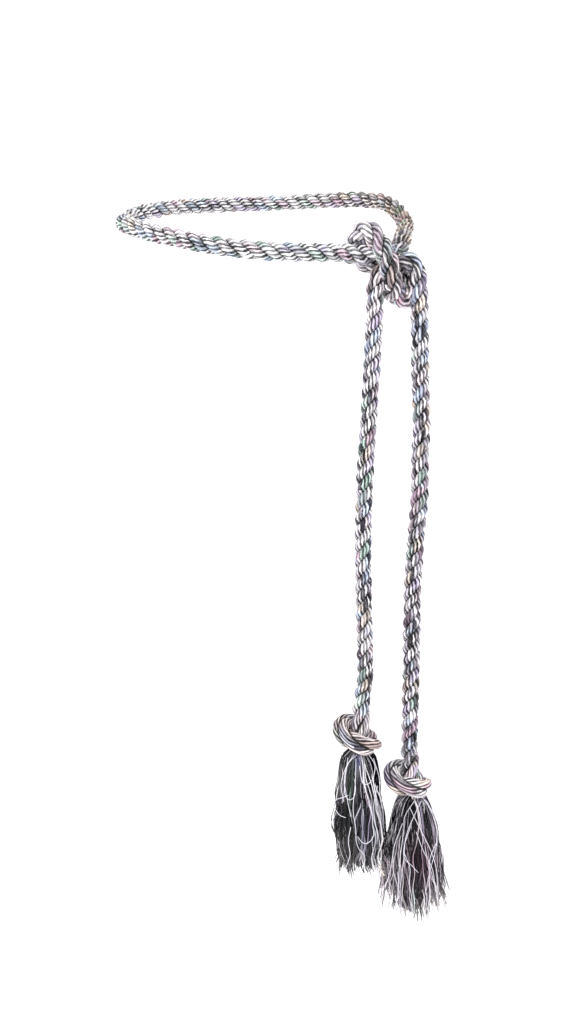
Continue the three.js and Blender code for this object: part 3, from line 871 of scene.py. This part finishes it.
tasselGrip = 0.004  # how far up the rope's end a tassel is bound
leftNeck, rightNeck = atStation(np.array((tasselGrip, ropeLength - tasselGrip)))
tasselSettings = {
    "tasselLeft": {
        "looks": {"Threads": 1400, "Locks": 46, "Length": 0.140, "Width": 0.066, "Neck": 0.36,
                  "Shoulder": 0.33, "Gather": 0.12, "Lean": 0.006, "Pale Wisps": 4.6, "Palest Lock": 0.0,
                  "Seed": 11},
        "strays": [
            [(3, 14, 4), (4, 24, 22), (7, 28, 37), (9, 29, 44), (12, 30, 55), (13, 30, 66), (14, 31, 76),
             (11, 32, 82), (6, 32, 85), (2, 32, 83), (-2, 31, 78)],
            [(-4, 14, 3), (-5, 25, 22), (-7, 29, 50), (-4, 30, 70), (-3, 31, 84), (0, 31, 92), (5, 31, 98),
             (6, 31, 104), (5, 30, 111), (1, 30, 117), (-3, 29, 121)],
            [(-12, 27, 36), (-19, 25, 40), (-24, 20, 45), (-25, 19, 53), (-20, 24, 59), (-14, 27, 60)],
            [(-12, 12, 3), (-15, 22, 20), (-15, 26, 36), (-11, 28, 40), (-7, 28, 38), (-5, 27, 30),
             (-6, 26, 19)],
            [(-1, 20, 8), (1, 26, 19), (3, 28, 23), (8, 27, 23), (11, 26, 20)],
            [(-6, 12, 0), (-14, 18, 10), (-19, 21, 27), (-16, 23, 45)],
            [(-3, 12, 0), (-12, 20, 5), (-16, 23, 20), (-13, 26, 40), (-9, 28, 58)],
            [(9, 11, 0), (15, 16, 9), (13, 23, 22), (17, 21, 43), (22, 16, 62), (24, 15, 78)],
            [(14, 11, 4), (20, 14, 24), (21, 16, 42), (25, 14, 61), (26, 13, 80)],
            [(-9, 29, 69), (-11, 30, 84), (-9, 30, 99), (-13, 29, 114)],
            [(18, 18, 30), (14, 25, 48), (16, 25, 66), (19, 22, 84), (17, 22, 104)],
        ],
        "tints": [
            ((-3, 14, 6), (5, 12, 12), (0.012, 0.016, 0.22), 0.95, 0.72),
            ((-9, 24, 36), (5, 14, 34), (0.30, 0.52, 0.40), 0.9, 0.16),
            ((-22, 12, 30), (7, 20, 14), (0.9, 0.9, 1.0), 0.2, 0.35),
            ((-8, 20, 105), (24, 30, 26), (0.74, 0.74, 0.64), 0.7, 0.10),
            ((9, 28, 74), (12, 20, 28), (0.10, 0.14, 0.30), 0.7, 0.12),
        ],
    },
    "tasselRight": {
        "looks": {"Threads": 1400, "Locks": 50, "Length": 0.130, "Width": 0.086, "Neck": 0.18,
                  "Shoulder": 0.4, "Gather": 0.0, "Lean": 0.004, "Palest Lock": 0.2, "Seed": 57},
        "strays": [
            [(-6, 26, 22), (-12, 30, 40), (-13, 32, 49), (-11, 33, 55), (-5, 34, 60), (2, 34, 68)],
            [(14, 14, 6), (21, 22, 24), (20, 29, 44), (14, 34, 66), (10, 36, 90), (9, 36, 112)],
            [(2, 14, 5), (6, 28, 30), (12, 33, 56), (19, 35, 80), (24, 33, 104)],
            [(-1, 14, 1), (-12, 24, 13), (-13, 28, 23), (-17, 34, 57), (-18, 36, 95)],
            [(-7, 20, 4), (0, 27, 17), (7, 31, 30), (14, 33, 44), (20, 34, 62), (22, 35, 79), (23, 35, 100)],
            [(9, 12, 1), (19, 17, 13), (24, 20, 26), (28, 20, 43), (29, 21, 64)],
            [(-1, 31, 25), (6, 34, 43), (16, 35, 63), (20, 36, 86)],
            [(6, 14, 1), (-1, 24, 8), (-11, 31, 30), (-13, 34, 54), (-16, 36, 84)],
            [(-13, 35, 46), (-7, 37, 61), (-7, 38, 77), (-4, 38, 94), (-3, 38, 110)],
            [(20, 32, 35), (13, 36, 52), (13, 37, 72), (14, 38, 91), (12, 38, 110)],
            [(-14, 24, 20), (-22, 27, 44), (-25, 29, 66), (-30, 28, 90)],
        ],
        "tints": [
            ((6, 26, 62), (20, 20, 34), (0.30, 0.10, 0.20), 0.85, 0.10),
            ((-32, 10, 100), (12, 26, 26), (0.86, 0.70, 0.76), 0.8, 0.5),
            ((28, 12, 116), (18, 30, 22), (0.88, 0.74, 0.68), 0.9, 0.5),
        ],
    },
}

waistRope = layRope("waistRope", ["waist_rope"], ropeYarn)
tailLeft = layRope("tailLeft", ["tail_left"], ropeYarn)
tailRight = layRope("tailRight", ["tail_right"], ropeYarn)
waistKnot = layRope("waistKnot", ["front_run", "wrapping_run"], ropeYarn)
endKnotLeft = layRope("endKnotLeft", ["end_knot_left"], ropeYarn, endKnotLay)
endKnotRight = layRope("endKnotRight", ["end_knot_right"], ropeYarn, endKnotLay)
tasselLeft = hangTassel("tasselLeft", leftNeck, tasselSettings["tasselLeft"], tasselThread, strayThread)
tasselRight = hangTassel("tasselRight", rightNeck, tasselSettings["tasselRight"], tasselThread, strayThread)

for piece, node, slot in (
        (waistRope, "waist_rope", "rope"), (tailLeft, "tail_left", "rope"), (tailRight, "tail_right", "rope"),
        (waistKnot, "waist_knot", "rope"), (endKnotLeft, "end_knot_left", "rope"),
        (endKnotRight, "end_knot_right", "rope"), (tasselLeft, "tassel_left", "tassel"),
        (tasselRight, "tassel_right", "tassel")):
    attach(piece, "root")
    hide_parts(node)


cordPoints = 60


def declareCord(stretch, fromEnd=False):
    first, last = spans[stretch]
    path = atStation(np.linspace(first, last, cordPoints))
    path = path[::-1] if fromEnd else path
    last - first


declareCord("waist_rope")
declareCord("tail_left", fromEnd=True)
declareCord("tail_right")


# Stage: a pale floor that curves up into a backdrop all round
stageSettings = {
    "floor": -0.95,
    "flat": 2.0,
    "curve": 0.8,
    "height": 2.6,
    "segments": 96,
    "curveSteps": 12,
    "colour": (0.96, 0.955, 0.965, 1),
    "roughness": 0.9,
    "glow": (1, 0.99, 1, 1),
    "glowStrength": 0.12,
}


def addStage(settings):
    profile = [(settings["flat"], 0.0)]
    for step in range(1, settings["curveSteps"] + 1):
        angle = step / settings["curveSteps"] * math.pi / 2
        out, up = settings["curve"] * math.sin(angle), settings["curve"] * (1 - math.cos(angle))
        profile.append((settings["flat"] + out, up))
    profile.append((settings["flat"] + settings["curve"], settings["height"]))
    points, faces, count = [(0.0, 0.0, settings["floor"])], [], settings["segments"]
    for radius, height in profile:
        for step in range(count):
            angle = step / count * math.tau
            points.append((radius * math.cos(angle), radius * math.sin(angle), settings["floor"] + height))
    for step in range(count):
        following = (step + 1) % count
        faces.append((0, 1 + step, 1 + following))
        for ring in range(len(profile) - 1):
            inner, outer = 1 + ring * count, 1 + (ring + 1) * count
            faces.append((inner + step, outer + step, outer + following, inner + following))
    mesh = bpy.data.meshes.new("floor")
    mesh.from_pydata(points, [], faces)
    mesh.polygons.foreach_set("use_smooth", [True] * len(mesh.polygons))
    floor = bpy.data.objects.new("floor", mesh)
    scene.collection.objects.link(floor)
    material = bpy.data.materials.new("paleFloor")
    material.use_nodes = True
    shader = material.node_tree.nodes["Principled BSDF"]
    shader.inputs["Base Color"].default_value = settings["colour"]
    shader.inputs["Roughness"].default_value = settings["roughness"]
    shader.inputs["Emission Color"].default_value = settings["glow"]
    shader.inputs["Emission Strength"].default_value = settings["glowStrength"]
    mesh.materials.append(material)


lightSettings = {
    "world": 0.84,
    "lamps": [
        {"name": "keyLight", "place": (-1.1, -1.5, 1.1), "target": (0, 0, -0.2), "size": 1.0, "power": 30},
        {"name": "fillLight", "place": (1.6, -1.0, 0.3), "target": (0, 0, -0.3), "size": 1.4, "power": 6},
    ],
}


def addLights(settings):
    world = bpy.data.worlds.new("studio")
    world.use_nodes = True
    world.node_tree.nodes["Background"].inputs["Color"].default_value = (1, 1, 1, 1)
    world.node_tree.nodes["Background"].inputs["Strength"].default_value = settings["world"]
    scene.world = world
    for lamp in settings["lamps"]:
        data = bpy.data.lights.new(lamp["name"], "AREA")
        data.shape = "DISK"
        data.size = lamp["size"]
        data.energy = lamp["power"]
        light = bpy.data.objects.new(lamp["name"], data)
        light.location = lamp["place"]
        aim = Vector(lamp["target"]) - Vector(lamp["place"])
        light.rotation_euler = aim.to_track_quat("-Z", "Y").to_euler()
        scene.collection.objects.link(light)


addStage(stageSettings)
addLights(lightSettings)
scene.view_settings.view_transform = "Standard"
print("stage and lights placed")
